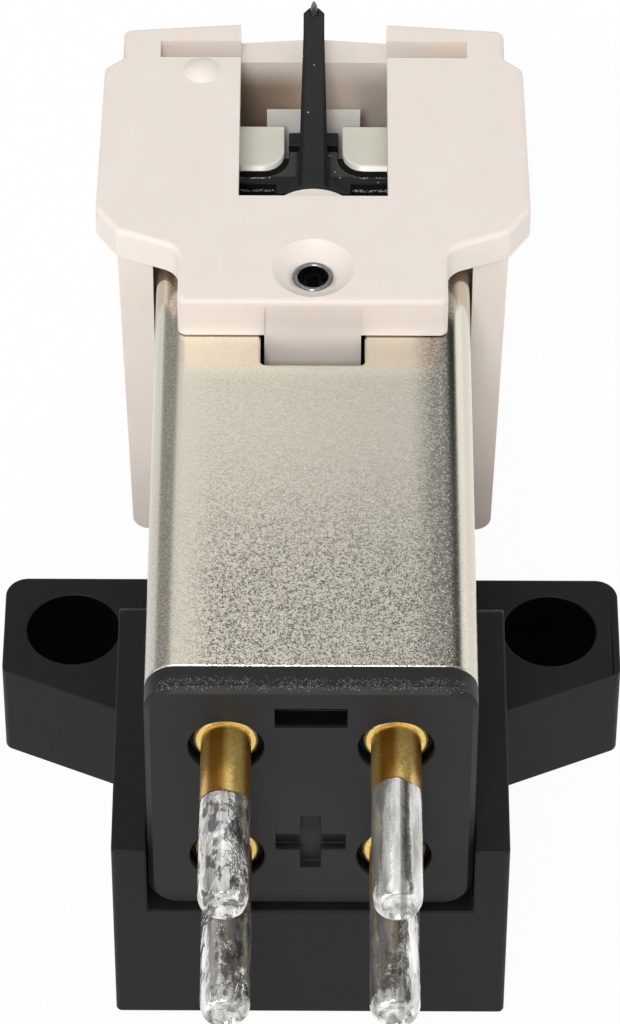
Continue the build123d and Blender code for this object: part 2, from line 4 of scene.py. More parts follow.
import bmesh
import bpy
import numpy as np
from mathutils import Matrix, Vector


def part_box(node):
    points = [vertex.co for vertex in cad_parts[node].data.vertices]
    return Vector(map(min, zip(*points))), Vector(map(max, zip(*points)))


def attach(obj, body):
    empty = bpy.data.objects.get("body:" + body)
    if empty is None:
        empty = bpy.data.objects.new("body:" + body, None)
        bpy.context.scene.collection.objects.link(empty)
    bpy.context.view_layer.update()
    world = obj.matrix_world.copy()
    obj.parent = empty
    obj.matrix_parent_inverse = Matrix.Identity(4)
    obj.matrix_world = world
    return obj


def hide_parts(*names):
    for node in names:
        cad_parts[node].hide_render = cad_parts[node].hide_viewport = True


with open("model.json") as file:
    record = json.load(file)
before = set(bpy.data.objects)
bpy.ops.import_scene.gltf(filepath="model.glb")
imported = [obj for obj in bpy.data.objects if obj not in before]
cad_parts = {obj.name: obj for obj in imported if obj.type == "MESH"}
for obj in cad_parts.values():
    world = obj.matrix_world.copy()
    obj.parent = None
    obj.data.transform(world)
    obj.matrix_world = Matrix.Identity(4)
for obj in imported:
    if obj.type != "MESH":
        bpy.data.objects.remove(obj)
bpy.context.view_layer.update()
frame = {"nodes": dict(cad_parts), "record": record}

scene = bpy.context.scene
MM = 0.001

BODIES = frame["record"]["behaviour"]["bodies"]
BODY_OF = {node: body for body, nodes in BODIES.items() for node in nodes}


def box_mm(node):
    """Low and high corner of a CAD node's box, in millimetres."""
    low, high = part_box(node)
    return np.array(low) / MM, np.array(high) / MM


def middle_mm(node):
    """Middle of a CAD node's box, in millimetres."""
    low, high = box_mm(node)
    return (low + high) / 2


# Places on the part, in millimetres

HOLE_X = 6.35  # each screw hole's axis from the centre plane
HOLE_REACH = 1.26  # just past the wall of a screw hole
PLATE_REAR = float(box_mm("terminal_plate")[0][1])
PLUS_MIDDLE = float(middle_mm("terminal_pin_lower_left")[2]) + 0.55
CAN_TOP = float(box_mm("shield_can")[1][2])  # also the terminal plate's
HOLDER_REAR = float(box_mm("stylus_holder")[0][1])
SHEET_TOP = float(box_mm("upper_pole_left")[1][2])
BAR_REAR = 8.26  # the cantilever's crossbar
BAR_FRONT = 8.52
TAB_REAR = 8.8  # the upper poles' tabs, each with a rounded inner corner
TAB_CORNER_X = 1.369
TAB_CORNER_Y = 9.389
TAB_CORNER_R = 0.589
RIB_REAR = 10.72  # the rib on the inner face of the holder's front wall
WALL_INNER = 11.75


# Meshes: welding distances in metres, angles in degrees

WELD_SKIN = 2e-8
WELD_CAD = 1e-6
FLAT_ANGLE = 0.4  # faces that meet within this become one
EDGE_ANGLE = 50  # edges sharper than this are rounded
EDGE_SEGMENTS = 2
CAD_CREASE = 18.5  # edges sharper than this keep a crease
SKIN_CREASE = 38


def link(mesh, name):
    """Object for a finished mesh, at the origin."""
    piece = bpy.data.objects.new(name, mesh)
    scene.collection.objects.link(piece)
    return piece


def soften(mesh, angle):
    """Smooth shading that breaks at edges sharper than the angle in degrees."""
    mesh.shade_smooth()
    mesh.set_sharp_from_angle(angle=math.radians(angle))


def grid_faces(rows, columns):
    """Quads of a grid whose last column joins its first, rows running along the path."""
    row = np.arange(rows - 1)[:, None] * columns
    here = np.arange(columns)[None, :]
    beside = (here + 1) % columns
    corners = (row + here, row + beside, row + columns + beside, row + columns + here)
    return np.stack(np.broadcast_arrays(*corners), axis=-1).reshape(-1, 4)


def skin(name, points):
    """Closed piece from a (rows, columns, 3) array of points in millimetres. Rows that shrink to a point
    close its ends, and a last row that repeats the first closes a ring."""
    rows, columns = points.shape[:2]
    mesh = bpy.data.meshes.new(name)
    mesh.from_pydata((points.reshape(-1, 3) * MM).tolist(), [], grid_faces(rows, columns).tolist())
    merged = bmesh.new()
    merged.from_mesh(mesh)
    bmesh.ops.remove_doubles(merged, verts=merged.verts, dist=WELD_SKIN)
    bmesh.ops.recalc_face_normals(merged, faces=merged.faces)
    merged.to_mesh(mesh)
    merged.free()
    soften(mesh, SKIN_CREASE)
    return link(mesh, name)


def stand_in(node, edge=0.0):
    """Merged copy of a CAD node with smooth rounds; its sharp edges are rounded by edge millimetres."""
    merged = bmesh.new()
    merged.from_mesh(frame["nodes"][node].data)
    bmesh.ops.remove_doubles(merged, verts=merged.verts, dist=WELD_CAD)
    limit = math.radians(FLAT_ANGLE)
    bmesh.ops.dissolve_limit(merged, angle_limit=limit, verts=merged.verts, edges=merged.edges)
    mesh = bpy.data.meshes.new(node + "_finish")
    merged.to_mesh(mesh)
    merged.free()
    soften(mesh, CAD_CREASE)
    piece = link(mesh, node + "_finish")
    if edge:
        rounding = piece.modifiers.new("edge_round", "BEVEL")
        rounding.width = edge * MM
        rounding.segments = EDGE_SEGMENTS
        rounding.limit_method = "ANGLE"
        rounding.angle_limit = math.radians(EDGE_ANGLE)
        rounding.use_clamp_overlap = False
    even = piece.modifiers.new("even_normals", "WEIGHTED_NORMAL")
    even.keep_sharp = True
    return place(piece, node)


def place(piece, *nodes):
    """The piece stands for its CAD nodes, which it hides, and rides on their body."""
    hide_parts(*nodes)
    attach(piece, BODY_OF[nodes[0]])
    return piece


# Shader building

def tone(red, green, blue):
    """Linear colour from the 0 to 255 values that a screen shows."""
    share = np.array([red, green, blue]) / 255
    linear = np.where(share <= 0.04045, share / 12.92, ((share + 0.055) / 1.055) ** 2.4)
    return (*linear.tolist(), 1.0)


def set_input(tree, socket, value):
    """The input is linked to another socket, or set to a plain value."""
    if isinstance(value, bpy.types.NodeSocket):
        tree.links.new(value, socket)
    else:
        socket.default_value = value


def add(tree, kind, values=None, **settings):
    """Node of a kind with its settings; values set or link its inputs by name or number."""
    made = tree.nodes.new(kind)
    for name, value in settings.items():
        setattr(made, name, value)
    for key, value in (values or {}).items():
        set_input(tree, made.inputs[key], value)
    return made


def maths(tree, operation, *values, clamp=False):
    """Result of a Math node."""
    made = add(tree, "ShaderNodeMath", dict(enumerate(values)), operation=operation, use_clamp=clamp)
    return made.outputs[0]


def chain(tree, operation, values):
    """One Math operation carried through all the values in turn."""
    result = values[0]
    for value in values[1:]:
        result = maths(tree, operation, result, value)
    return result


def times(tree, *values):
    """Product of the values."""
    return chain(tree, "MULTIPLY", values)


def total(tree, *values):
    """Sum of the values."""
    return chain(tree, "ADD", values)


def most(tree, *values):
    """Largest of the values."""
    return chain(tree, "MAXIMUM", values)


def less(tree, value, taken):
    """The value with another taken away."""
    return maths(tree, "SUBTRACT", value, taken)


def unsigned(tree, value):
    """The value without its sign."""
    return maths(tree, "ABSOLUTE", value)


def step(tree, value, start, end, low=0.0, high=1.0):
    """Smooth step from low to high while the value goes from start to end."""
    if start > end:
        start, end, low, high = end, start, high, low
    values = {0: value, 1: start, 2: end, 3: low, 4: high}
    return add(tree, "ShaderNodeMapRange", values, interpolation_type="SMOOTHSTEP").outputs[0]


def between(tree, value, rise, fall):
    """One between two soft edges, each given by where it starts and ends, and zero outside them."""
    return times(tree, step(tree, value, *rise), step(tree, value, *fall))


def blend_tones(tree, share, first, second):
    """Colour between two, by share."""
    made = add(tree, "ShaderNodeMix", {0: share}, data_type="RGBA")
    set_input(tree, made.inputs[6], first)
    set_input(tree, made.inputs[7], second)
    return made.outputs[2]


def stretched(tree, spot, factors):
    """Place in millimetres with each axis multiplied by its factor."""
    return add(tree, "ShaderNodeVectorMath", {0: spot, 1: factors}, operation="MULTIPLY").outputs[0]


def shifted(tree, spot, way):
    """Place in millimetres moved by a vector."""
    return add(tree, "ShaderNodeVectorMath", {0: spot, 1: way}, operation="ADD").outputs[0]


def new_group(name, inputs):
    """Empty shader group with one Mask output; inputs give a default each, and None stands for a vector."""
    tree = bpy.data.node_groups.new(name, "ShaderNodeTree")
    for label, value in inputs.items():
        kind = "NodeSocketVector" if value is None else "NodeSocketFloat"
        socket = tree.interface.new_socket(label, in_out="INPUT", socket_type=kind)
        if value is not None:
            socket.default_value = value
    tree.interface.new_socket("Mask", in_out="OUTPUT", socket_type="NodeSocketFloat")
    given = tree.nodes.new("NodeGroupInput").outputs
    out = tree.nodes.new("NodeGroupOutput").inputs["Mask"]
    return tree, given, out


def grain_group():
    """Grain: fractal noise at Scale per millimetre, spread about one half by Contrast."""
    tree, given, out = new_group("grain", {"Millimetres": None, "Scale": 10.0, "Contrast": 1.0})
    values = {"Vector": given["Millimetres"], "Scale": given["Scale"], "Detail": 3.0}
    noise = add(tree, "ShaderNodeTexNoise", values)
    spread = times(tree, less(tree, noise.outputs[0], 0.5), given["Contrast"])
    tree.links.new(maths(tree, "ADD", spread, 0.5, clamp=True), out)
    return tree


def speck_group():
    """Specks: round spots of Size at cell points, Scale cells per millimetre, kept where a cell's own
    number is under Share."""
    tree, given, out = new_group("specks", {"Millimetres": None, "Scale": 8.0, "Size": 0.25, "Share": 0.2})
    cells = add(tree, "ShaderNodeTexVoronoi", {"Vector": given["Millimetres"], "Scale": given["Scale"]})
    spot = maths(tree, "LESS_THAN", cells.outputs["Distance"], given["Size"])
    number = add(tree, "ShaderNodeSeparateColor", {0: cells.outputs["Color"]}).outputs[0]
    kept = maths(tree, "LESS_THAN", number, given["Share"])
    tree.links.new(times(tree, spot, kept), out)
    return tree


GRAIN = grain_group()
SPECKS = speck_group()


def grain(tree, spot, scale, contrast):
    """Mask from the shared grain group."""
    return add(tree, "ShaderNodeGroup", {0: spot, 1: scale, 2: contrast}, node_tree=GRAIN).outputs[0]


def specks(tree, spot, scale, size, share):
    """Mask from the shared speck group."""
    return add(tree, "ShaderNodeGroup", {0: spot, 1: scale, 2: size, 3: share}, node_tree=SPECKS).outputs[0]


def finish(name, **constants):
    """New material: its tree, its Principled shader with constants set, and the place in millimetres,
    whole and split into axes."""
    made = bpy.data.materials.new(name)
    made.use_nodes = True
    tree = made.node_tree
    shader = tree.nodes["Principled BSDF"]
    for label, value in constants.items():
        shader.inputs[label.replace("_", " ")].default_value = value
    metres = tree.nodes.new("ShaderNodeTexCoord").outputs["Object"]
    spot = add(tree, "ShaderNodeVectorMath", {0: metres, "Scale": 1 / MM}, operation="SCALE").outputs[0]
    axes = add(tree, "ShaderNodeSeparateXYZ", {0: spot}).outputs
    return made, tree, shader, spot, axes


def feed(tree, value, shader, label):
    """The value drives one of the shader's inputs."""
    tree.links.new(value, shader.inputs[label])


def paint(tree, colour, shader):
    """The colour becomes the shader's base colour."""
    feed(tree, colour, shader, "Base Color")


def vary_roughness(tree, shader, mask, low, high):
    """Roughness that goes from low to high with a grain mask."""
    feed(tree, step(tree, mask, 0.2, 0.8, low, high), shader, "Roughness")


def rough_bump(tree, shader, height, strength, depth):
    """Relief of depth millimetres on the shader's normal."""
    values = {"Height": height, "Strength": strength, "Distance": depth * MM}
    feed(tree, add(tree, "ShaderNodeBump", values).outputs[0], shader, "Normal")


# Finishes

def moulding(name, dark, light, roughness, scale, depth, **constants):
    """Moulded plastic: two close tones mixed by grain, a roughness that follows it and a fine skin."""
    made, tree, shader, spot, axes = finish(name, **constants)
    cloud = grain(tree, spot, scale / 8, 1.6)
    fine = grain(tree, spot, scale, 1.2)
    mixed = total(tree, times(tree, cloud, 0.6), times(tree, fine, 0.4))
    colour = blend_tones(tree, mixed, dark, light)
    paint(tree, colour, shader)
    vary_roughness(tree, shader, mixed, roughness - 0.05, roughness + 0.05)
    rough_bump(tree, shader, fine, 0.25, depth)
    return made, tree, shader, spot, axes, colour


def base_finish():
    """Black moulding of the mounting base."""
    dark, light = tone(22, 22, 23), tone(31, 31, 32)
    return moulding("black_moulding_base", dark, light, 0.5, 14, 0.01, Specular_IOR_Level=0.16)[0]


def hole_shade_finish():
    """Painted shade: unlit black of the two screw holes' walls."""
    dark, light = tone(3, 3, 3), tone(6, 6, 6)
    return moulding("painted_shade_hole_wall", dark, light, 0.85, 14, 0.01, Specular_IOR_Level=0.02)[0]


def plate_finish():
    """Black moulding of the terminal plate: pale dust specks along the upper rear edge, and painted shade
    inside its recesses, least at the foot of the plus."""
    dark, light = tone(29, 29, 30), tone(39, 39, 40)
    made, tree, shader, spot, axes, colour = moulding(
        "black_moulding_plate", dark, light, 0.5, 14, 0.01, Specular_IOR_Level=0.22)
    x, y, z = axes
    aside = unsigned(tree, x)
    inner = times(tree, step(tree, aside, 3.4, 3.3), step(tree, z, CAN_TOP - 0.34, CAN_TOP - 0.54))
    post = step(tree, aside, 0.3, 0.25)
    foot = times(tree, post, step(tree, z, PLUS_MIDDLE + 0.3, PLUS_MIDDLE + 0.1))
    plus = times(tree, step(tree, aside, 1.2, 1.1), step(tree, z, PLUS_MIDDLE + 1.5, PLUS_MIDDLE + 1.3))
    less_painted_shade = times(tree, plus, total(tree, times(tree, foot, 0.6), 0.4))
    # Painted shade: near-black deeper inside the recesses, eased over the plus and least at its foot.
    painted_shade_depth = step(tree, y, PLATE_REAR + 0.04, PLATE_REAR + 0.19)
    colour = blend_tones(tree, times(tree, painted_shade_depth, less(tree, inner, less_painted_shade)), colour, tone(9, 9, 9))
    ledge = between(tree, y, (PLATE_REAR + 0.49, PLATE_REAR + 0.34), (PLATE_REAR + 0.03, PLATE_REAR + 0.14))
    upper = step(tree, z, CAN_TOP - 0.24, CAN_TOP - 0.09)
    patches = step(tree, grain(tree, spot, 2.5, 1.5), 0.3, 0.7, 0.4, 1.0)
    dust = specks(tree, spot, 34.0, 0.36, times(tree, ledge, upper, patches, 0.55))
    paint(tree, blend_tones(tree, dust, colour, tone(134, 134, 132)), shader)
    return made


def nickel_finish():
    """Nickel-plated sheet: warm satin metal with a painted lighter reflection on the left, crystal grain and
    tiny bright flecks that grow towards the rear, painted dark reflections along the two bends and painted
    shade on the left side."""
    made, tree, shader, spot, axes = finish("nickel_sheet", Metallic=1.0)
    x, y = axes["X"], axes["Y"]
    coarse = grain(tree, spot, 13.0, 2.6)
    fine = grain(tree, spot, 27.0, 2.6)
    mixed = total(tree, times(tree, coarse, 0.4), times(tree, fine, 0.6))
    inside = times(tree, step(tree, x, -3.2, -2.3, 0.25, 1.0), step(tree, x, 3.7, 3.5, 0.1, 1.0))
    rear = step(tree, y, -1.0, -7.5)
    strength = times(tree, total(tree, times(tree, rear, 0.92), 0.13), inside)
    # Painted reflection: the base tone is paler towards the left.
    plain = blend_tones(tree, step(tree, x, -3.2, 3.2), tone(236, 229, 212), tone(218, 212, 197))
    # Painted dark reflections along the two bends, broken up by the grain.
    right_dark_reflection = between(tree, x, (2.4, 3.2), (3.72, 3.58))
    left_dark_reflection = between(tree, x, (-3.4, -3.55), (-3.85, -3.75))
    dark_reflection = most(tree, right_dark_reflection, times(tree, left_dark_reflection, 0.6))
    dark_reflection = times(tree, dark_reflection, step(tree, mixed, 0.75, 0.35, 0.35, 1.0), 0.9)
    plain = blend_tones(tree, dark_reflection, plain, tone(122, 120, 114))
    # Painted shade on the left side.
    left_side_shade = step(tree, x, -3.8, -3.9)
    plain = blend_tones(tree, left_side_shade, plain, tone(206, 201, 188))
    dark = times(tree, step(tree, mixed, 0.65, 0.25), strength)
    colour = blend_tones(tree, dark, plain, tone(118, 116, 110))
    drawn = stretched(tree, spot, (1.0, 0.7, 1.0))
    flecks = specks(tree, drawn, 17.0, 0.24, times(tree, strength, 0.4))
    paint(tree, blend_tones(tree, flecks, colour, tone(250, 247, 238)), shader)
    satin = total(tree, step(tree, y, 2.5, -6.0, 0.13, 0.22), step(tree, mixed, 0.2, 0.8, 0.05, 0.0))
    feed(tree, satin, shader, "Roughness")
    rough_bump(tree, shader, times(tree, mixed, inside), 0.12, 0.012)
    return made


def cream_finish():
    """Off-white moulding with a faint pink cloudiness: painted brown shade inside the front wall, most on
    the left, painted light on the wall's rib and low on the key, and painted shade on the tongue's rear
    face."""
    dark, light = tone(229, 218, 209), tone(233, 224, 216)
    made, tree, shader, _, axes, colour = moulding(
        "cream_moulding", dark, light, 0.42, 9, 0.006, Subsurface_Weight=0.12, Subsurface_Scale=0.0005)
    x, y, z = axes
    # Painted brown shade on the inner face of the front wall, strongest on the left.
    wall_shade = between(tree, y, (WALL_INNER - 0.09, WALL_INNER - 0.05), (WALL_INNER + 0.05, WALL_INNER + 0.02))
    low = step(tree, z, CAN_TOP + 0.5, CAN_TOP - 0.54)
    sided = step(tree, x, -1.2, 0.8, 1.0, 0.45)
    colour = blend_tones(tree, times(tree, wall_shade, low, sided), colour, tone(150, 130, 112))
    # Painted light on the wall's rib.
    rib_light = between(tree, y, (RIB_REAR - 0.06, RIB_REAR - 0.02), (WALL_INNER - 0.09, WALL_INNER - 0.15))
    rib_light = times(tree, rib_light, step(tree, z, CAN_TOP - 0.14, CAN_TOP - 0.19))
    rib_light = times(tree, rib_light, step(tree, unsigned(tree, x), 1.3, 1.27))
    colour = blend_tones(tree, rib_light, colour, tone(253, 247, 240))
    # Painted shade on the tongue's rear face, and painted light low on the key's rear face.
    rear = step(tree, y, HOLDER_REAR + 0.11, HOLDER_REAR + 0.08)
    tongue_shade = times(tree, rear, step(tree, z, CAN_TOP + 0.16, CAN_TOP + 0.56))
    colour = blend_tones(tree, tongue_shade, colour, tone(222, 211, 203))
    key = times(tree, rear, step(tree, z, CAN_TOP + 0.36, CAN_TOP - 0.24))
    paint(tree, blend_tones(tree, key, colour, tone(255, 242, 233)), shader)
    return made


def pin_finish(name, axis, start, seed, lumpy):
    """Gold plate with a painted highlight to the right of the pin's axis and painted shade at its sides, and
    tin over the free end from about start, along a wavy line: drawn streaks with a painted dark reflection
    band, and painted shade in hollows as far as lumpy says."""
    made, tree, shader, spot, axes = finish(name)
    y = axes["Y"]
    aside = less(tree, axes["X"], axis)
    fine = grain(tree, spot, 12.0, 2.0)
    streak = grain(tree, stretched(tree, spot, (1.0, 0.14, 1.0)), 3.4, 3.0)
    lumps = grain(tree, stretched(tree, spot, (1.0, 0.45, 1.0)), 3.6, 3.2)
    wave = grain(tree, shifted(tree, spot, (seed, 0, seed)), 1.3, 1.0)
    line = total(tree, y, times(tree, less(tree, wave, 0.5), 0.5))
    tinned = step(tree, line, start + 0.03, start - 0.03)
    bright = blend_tones(tree, fine, tone(222, 180, 88), tone(252, 226, 146))
    # Painted highlight right of the axis and painted shade at the pin's sides, on the shank only.
    lit = between(tree, aside, (-0.12, 0.14), (0.56, 0.34))
    edge = step(tree, aside, -0.34, -0.5, 0.0, 0.5)
    past_collar = step(tree, y, PLATE_REAR + 0.16, PLATE_REAR + 0.11)
    shaded = times(tree, less(tree, 1.0, most(tree, lit, edge)), past_collar)
    gold = blend_tones(tree, shaded, bright, tone(150, 103, 36))
    tin = blend_tones(tree, streak, tone(162, 160, 154), tone(255, 254, 250))
    # Painted shade in the tin's hollows, and a painted dark reflection band right of the axis.
    hollow_shade = times(tree, step(tree, lumps, 0.4, 0.2), 0.75 * lumpy)
    band = times(tree, between(tree, aside, (0.04, 0.1), (0.26, 0.2)), 0.6 - 0.5 * lumpy)
    tin = blend_tones(tree, most(tree, hollow_shade, band), tin, tone(66, 65, 62))
    paint(tree, blend_tones(tree, tinned, gold, tin), shader)
    feed(tree, total(tree, times(tree, tinned, 0.12), 0.7), shader, "Metallic")
    smooth = times(tree, tinned, -0.1)
    feed(tree, total(tree, smooth, step(tree, fine, 0.2, 0.8, 0.17, 0.27)), shader, "Roughness")
    relief = total(tree, times(tree, streak, 0.2 + 0.5 * lumpy), times(tree, lumps, 1.6 * lumpy))
    relief = total(tree, times(tree, relief, tinned), times(tree, fine, 0.12))
    rough_bump(tree, shader, relief, 0.4, 0.05)
    return made


def sheet_finish():
    """Soft magnetic strip: pale grey-green metal with a fine rolled grain, painted shade down its leg, with
    a painted highlight on the sheared edges round the tab, whose relief leans them up to the light."""
    made, tree, shader, spot, axes = finish("pole_sheet")
    x, y, z = axes
    rolled = grain(tree, stretched(tree, spot, (0.25, 1.0, 1.0)), 16.0, 1.6)
    across = most(tree, less(tree, TAB_CORNER_X, unsigned(tree, x)), 0.0)
    back = most(tree, less(tree, TAB_CORNER_Y, y), 0.0)
    reach = maths(tree, "SQRT", total(tree, times(tree, across, across), times(tree, back, back)))
    rim = step(tree, reach, TAB_CORNER_R - 0.03, TAB_CORNER_R - 0.015)
    shear_highlight = times(tree, rim, step(tree, z, SHEET_TOP - 0.24, SHEET_TOP - 0.21))
    # Painted shade down the leg, under the tab.
    leg_shade = step(tree, y, TAB_REAR + 0.045, TAB_REAR + 0.025)
    leg_shade = times(tree, leg_shade, step(tree, z, SHEET_TOP - 0.21, SHEET_TOP - 0.24))
    flat = blend_tones(tree, rolled, tone(238, 235, 219), tone(247, 245, 231))
    flat = blend_tones(tree, leg_shade, flat, tone(60, 60, 58))
    # Painted highlight: near-white on the sheared edges round the tab.
    paint(tree, blend_tones(tree, shear_highlight, flat, tone(254, 253, 244)), shader)
    feed(tree, step(tree, shear_highlight, 0.0, 1.0, 0.55, 0.1), shader, "Metallic")
    vary_roughness(tree, shader, rolled, 0.34, 0.42)
    lean = times(tree, less(tree, SHEET_TOP, z), shear_highlight, 0.85)
    rough_bump(tree, shader, total(tree, times(tree, rolled, 0.0015), lean), 1.0, 1.0)
    return made


def cantilever_finish():
    """Dark grey moulding with a paler web, a few pale specks, and dust along the crossbar's parting line and
    front edge."""
    dark, light = tone(24, 24, 25), tone(36, 36, 37)
    made, tree, shader, spot, axes, colour = moulding(
        "cantilever_moulding", dark, light, 0.45, 12, 0.01, Specular_IOR_Level=0.24)
    x, y, z = axes
    aside = unsigned(tree, x)
    web = between(tree, y, (BAR_FRONT - 0.02, BAR_FRONT + 0.04), (BAR_FRONT + 1.08, BAR_FRONT + 0.98))
    web = times(tree, web, step(tree, aside, 0.4, 0.5))
    colour = blend_tones(tree, web, colour, tone(66, 66, 65))
    seam = between(tree, z, (11.38, 11.42), (11.5, 11.46))
    seam = times(tree, seam, step(tree, y, BAR_REAR + 0.04, BAR_REAR + 0.02))
    rim = times(tree, step(tree, y, BAR_FRONT - 0.08, BAR_FRONT - 0.04), 0.5)
    outer = step(tree, aside, 1.0, 1.15)
    dust = specks(tree, spot, 24.0, 0.5, times(tree, most(tree, seam, rim), outer, 0.95))
    stray = specks(tree, spot, 7.0, 0.13, 0.1)
    paint(tree, blend_tones(tree, most(tree, dust, stray), colour, tone(214, 214, 212)), shader)
    return made


def plain_metal(name, dark, light, roughness, scale):
    """Bare metal: two tones and a roughness mixed by grain."""
    made, tree, shader, spot, _ = finish(name, Metallic=1.0)
    mask = grain(tree, spot, scale, 1.6)
    paint(tree, blend_tones(tree, mask, dark, light), shader)
    vary_roughness(tree, shader, mask, roughness - 0.06, roughness + 0.06)
    return made


def winding_finish():
    """Enamelled copper wire in layers: tones and relief follow a sine of the height, one wave a turn."""
    turn_height = 0.06
    made, tree, shader, spot, axes = finish("copper_winding", Metallic=1.0)
    turns = maths(tree, "SINE", times(tree, axes["Z"], 2 * math.pi / turn_height))
    mask = step(tree, turns, -1.0, 1.0)
    paint(tree, blend_tones(tree, mask, tone(120, 62, 34), tone(200, 120, 76)), shader)
    vary_roughness(tree, shader, grain(tree, spot, 10.0, 1.5), 0.3, 0.42)
    rough_bump(tree, shader, mask, 0.6, 0.02)
    return made


def diamond_finish():
    """Polished diamond with a faint grey cloud."""
    made, tree, shader, spot, _ = finish("diamond", IOR=2.0)
    cloud = grain(tree, spot, 20.0, 1.5)
    paint(tree, blend_tones(tree, cloud, tone(34, 34, 35), tone(84, 84, 85)), shader)
    vary_roughness(tree, shader, cloud, 0.06, 0.16)
    return made


# Surfaces of the pieces

def pin_points(x, z, start, phase, lumpy):
    """Turned pin: a radius at each place along its axis, swept round it. The radius follows solder end,
    collar, straight shank, quarter-ellipse dome and a dished end. Past the wavy line at start, tin adds a
    sum of sines of the angle, drawn out along the axis, as streaks, and a product of two sines as beads."""
    root_r, shank_r, tinned_r, dome_end_r = 0.47, 0.622, 0.635, 0.42
    solder_end, collar_front, collar_middle = -7.19, -9.79, -9.9
    collar_half, dome_l, free_end = 0.11, 0.42, -15.24
    shank_rows, round_columns = 70, 72
    collar = np.linspace(-1.5, 1.5, 9)
    dome = np.linspace(0, math.pi / 2, 14)
    dish = np.linspace(0, 1, 8)[1:]
    radius = np.concatenate([
        [0.0, root_r, root_r, 0.72],
        0.7 + 0.1 * np.cos(collar),
        [0.66, 0.63, shank_r, shank_r],
        np.full(shank_rows, shank_r),
        dome_end_r + (shank_r - dome_end_r) * np.cos(dome),
        0.41 - 0.05 * dish[:2],
        0.34 * (1 - dish[2:] ** 2) / (1 - dish[2] ** 2)])
    along = np.concatenate([
        [solder_end, solder_end, collar_front, collar_front],
        collar_middle - collar_half * np.sin(collar),
        [-10.01, -10.015, -10.04, -10.2],
        np.linspace(-10.3, -14.8, shank_rows),
        free_end + dome_l - dome_l * np.sin(dome),
        free_end + 0.05 * dish[:2],
        free_end + 0.04 + 0.14 * dish[2:]])
    turn = np.linspace(0, 2 * math.pi, round_columns, endpoint=False)[None, :]
    y = along[:, None]
    edge = start + 0.1 * np.sin(turn + phase) + 0.05 * np.sin(3 * turn + 2 * phase)
    tin = 1 / (1 + np.exp((y - edge) / 0.03))
    streaks = np.sin(3 * turn + phase + 0.5 * y) + 0.8 * np.sin(5 * turn + 2.1 * phase - 0.9 * y)
    streaks = streaks + 0.6 * np.sin(8 * turn + 3.3 * phase + 1.7 * y)
    streaks = streaks + 0.4 * np.sin(13 * turn + phase - 2.3 * y)
    beads = np.sin(4 * turn + 5.1 * y + phase) * np.sin(7.3 * y + 2 * turn)
    coat = 0.004 + (0.001 + 0.0035 * lumpy) * streaks + 0.006 * lumpy * beads
    outward = radius[:, None] / tinned_r
    r = radius[:, None] + tin * outward * coat
    return np.stack([x + r * np.cos(turn), np.broadcast_to(y, r.shape), z + r * np.sin(turn)], axis=-1)


def tip_points():
    """Stylus: a round shank and a swelling cone, one radius at each height, swept round an upright axis."""
    shank_r, columns = 0.1, 28
    low, high = box_mm("stylus_tip")
    middle = (low + high) / 2
    radius = np.array([0.0, shank_r, shank_r, shank_r, 0.096, 0.082, 0.05, 0.018, 0.0])
    below_top = np.array([0.38, 0.3, 0.24, 0.16, 0.07, 0.01, 0.0])
    height = np.concatenate([[low[2], low[2]], high[2] - below_top])
    turn = np.linspace(0, 2 * math.pi, columns, endpoint=False)[None, :]
    r = radius[:, None]
    z = np.broadcast_to(height[:, None], (len(radius), columns))
    return np.stack([middle[0] + r * np.cos(turn), middle[1] + r * np.sin(turn), z], axis=-1)


def ring_points(node, bore, corner):
    """Rubber ring: a rectangle with corners rounded by a quarter circle each, between the bore and the
    node's outer radius, swept once round the node's axis along Y; the last row repeats the first."""
    rows, corner_points = 57, 5
    low, high = box_mm(node)
    middle = (low + high) / 2
    outer = (high[0] - low[0]) / 2
    turn = np.linspace(0, 2 * math.pi, rows)[:, None]
    quarter = np.linspace(0, math.pi / 2, corner_points)
    around = (np.arange(4)[:, None] * math.pi / 2 + quarter[None, :]).ravel()
    out_side = np.repeat([1, 0, 0, 1], corner_points)
    far_side = np.repeat([1, 1, 0, 0], corner_points)
    r = np.where(out_side == 1, outer - corner, bore + corner) + corner * np.cos(around)
    y = np.where(far_side == 1, high[1] - corner, low[1] + corner) + corner * np.sin(around)
    r = r[None, :]
    y = np.broadcast_to(y[None, :], (rows, len(around)))
    return np.stack([middle[0] + r * np.cos(turn), y, middle[2] + r * np.sin(turn)], axis=-1)


# Pieces

def dress(piece, material):
    """The piece takes one material."""
    piece.data.materials.clear()
    piece.data.materials.append(material)
    return piece


def shade_holes(base):
    """The upright faces round the two screw holes take the base's second material, a painted shade."""
    base.data.materials.append(hole_shade_finish())
    faces = base.data.polygons
    centres = np.empty((len(faces), 3))
    faces.foreach_get("center", centres.ravel())
    facing = np.empty_like(centres)
    faces.foreach_get("normal", facing.ravel())
    in_hole = np.hypot(np.abs(centres[:, 0]) - HOLE_X * MM, centres[:, 1]) < HOLE_REACH * MM
    upright = np.abs(facing[:, 2]) < 0.3
    faces.foreach_set("material_index", (in_hole & upright).astype(np.int32))


def build_pins():
    """Four turned pins; for each, where the tin starts, a phase for its waves and how lumpy it is."""
    tinning = {
        "upper_left": (-12.08, 0.4, 1.0),
        "upper_right": (-11.74, 1.9, 0.1),
        "lower_left": (-11.9, 3.1, 0.8),
        "lower_right": (-11.8, 4.6, 0.4)}
    for corner, (start, phase, lumpy) in tinning.items():
        node = "terminal_pin_" + corner
        x, _, z = middle_mm(node).tolist()
        piece = place(skin(node + "_finish", pin_points(x, z, start, phase, lumpy)), node)
        dress(piece, pin_finish("plated_pin_" + corner, x, start, phase * 3, lumpy))


